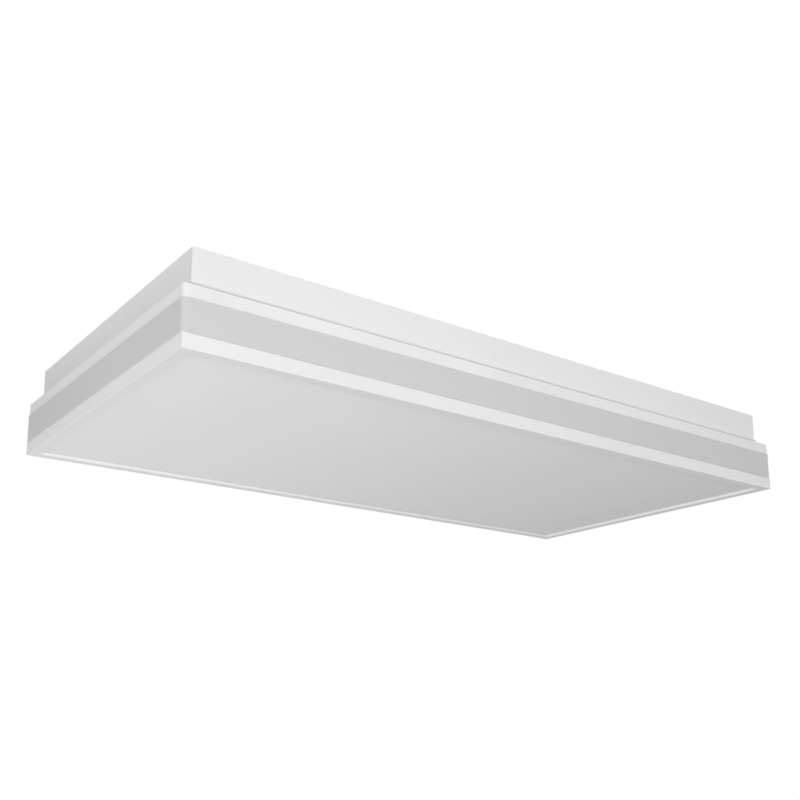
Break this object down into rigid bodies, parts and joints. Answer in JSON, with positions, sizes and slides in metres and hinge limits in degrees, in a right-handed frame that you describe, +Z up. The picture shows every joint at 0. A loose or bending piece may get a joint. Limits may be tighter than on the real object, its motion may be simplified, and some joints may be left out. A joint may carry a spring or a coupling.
{
  "type": "led ceiling panel",
  "caption": "Rectangular LED ceiling light: white housing pan, magnet-held cover with opal side band, mitred white frame and recessed opal panel.",
  "frame": {"origin": "middle of the ceiling face of the housing pan, at the centre of its four fixing slots", "axes": "+Z up into the ceiling, +X along the long side, +Y across; the light hangs to -Z"},
  "size_m": [0.6, 0.3, 0.0727],
  "materials": {
    "housing_paint": "fine powder coat, satin white",
    "tray_paint": "reflective white paint",
    "grommet_rubber": "matte",
    "zinc_screw": "bright zinc",
    "rivet_aluminium": "satin",
    "connector_plastic": "moulded",
    "terminal_plastic": "moulded",
    "contact_brass": "plain",
    "cap_plastic": "moulded, fine grain",
    "driver_plastic": "moulded, fine grain",
    "circuit_board": "solder mask",
    "ferrite": "fired",
    "capacitor_can": "sleeved",
    "tinned_brass": "tinned",
    "brown_insulation": "soft",
    "blue_insulation": "soft",
    "green_yellow_insulation": "soft, striped",
    "red_insulation": "soft",
    "black_insulation": "soft",
    "board_white": "white solder mask on an aluminium core",
    "led_chip": "phosphor window in a white package",
    "button_plastic": "moulded",
    "frame_plastic": "moulded, satin white",
    "magnet_nickel": "nickel plated",
    "cup_steel": "zinc plated",
    "band_opal": "opal, satin",
    "rail_paint": "fine powder coat, satin white",
    "key_steel": "zinc plated",
    "post_plastic": "moulded",
    "panel_opal": "opal, fine satin"
  },
  "bodies": {
    "base": {"ceiling_pan": "housing_paint", "cable_grommet": "grommet_rubber", "led_tray": "tray_paint", "tray_screws": "zinc_screw", "lead_grommet": "grommet_rubber", "board_rivets": "rivet_aluminium", "board_connectors": "connector_plastic", "terminal_block": "terminal_plastic", "terminal_contacts": "contact_brass", "driver_case": "driver_plastic", "driver_lid": "driver_plastic", "driver_board": "circuit_board", "driver_transformer": "ferrite", "driver_capacitors": "capacitor_can", "pan_screws": "zinc_screw", "earth_tag": "tinned_brass", "earth_screw": "zinc_screw", "live_lead": "brown_insulation", "neutral_lead": "blue_insulation", "earth_lead": "green_yellow_insulation", "output_leads_red": "red_insulation", "output_leads_black": "black_insulation", "jumpers_red": "red_insulation", "jumpers_black": "black_insulation", "led_board_1": "board_white", "led_board_2": "board_white", "led_board_3": "board_white", "led_board_4": "board_white", "led_chips_1": "led_chip", "led_chips_2": "led_chip", "led_chips_3": "led_chip", "led_chips_4": "led_chip"},
    "cover": {"upper_frame": "frame_plastic", "magnets": "magnet_nickel", "magnet_cups": "cup_steel", "side_band": "band_opal", "lower_rail_front": "rail_paint", "lower_rail_right": "rail_paint", "lower_rail_back": "rail_paint", "lower_rail_left": "rail_paint", "corner_keys": "key_steel", "corner_posts": "post_plastic", "post_screws": "zinc_screw", "diffuser_panel": "panel_opal"},
    "terminal_cap": {"terminal_cover": "cap_plastic"},
    "button_1": {"release_button_1": "button_plastic"},
    "button_2": {"release_button_2": "button_plastic"},
    "button_3": {"release_button_3": "button_plastic"}
  },
  "joints": [
    {"name": "cover_pull", "type": "slide", "parent": "base", "child": "cover", "axis": [0, 0, -1], "range_m": [0, 0.09]},
    {"name": "terminal_cover_pull", "type": "slide", "parent": "base", "child": "terminal_cap", "axis": [0, 0, -1], "range_m": [0, 0.02]},
    {"name": "release_button_1_press", "type": "slide", "parent": "base", "child": "button_1", "axis": [0, 0, 1], "range_m": [0, 0.0015], "stiffness_N_per_m": 600},
    {"name": "release_button_2_press", "type": "slide", "parent": "base", "child": "button_2", "axis": [0, 0, 1], "range_m": [0, 0.0015], "stiffness_N_per_m": 600},
    {"name": "release_button_3_press", "type": "slide", "parent": "base", "child": "button_3", "axis": [0, 0, 1], "range_m": [0, 0.0015], "stiffness_N_per_m": 600}
  ]
}
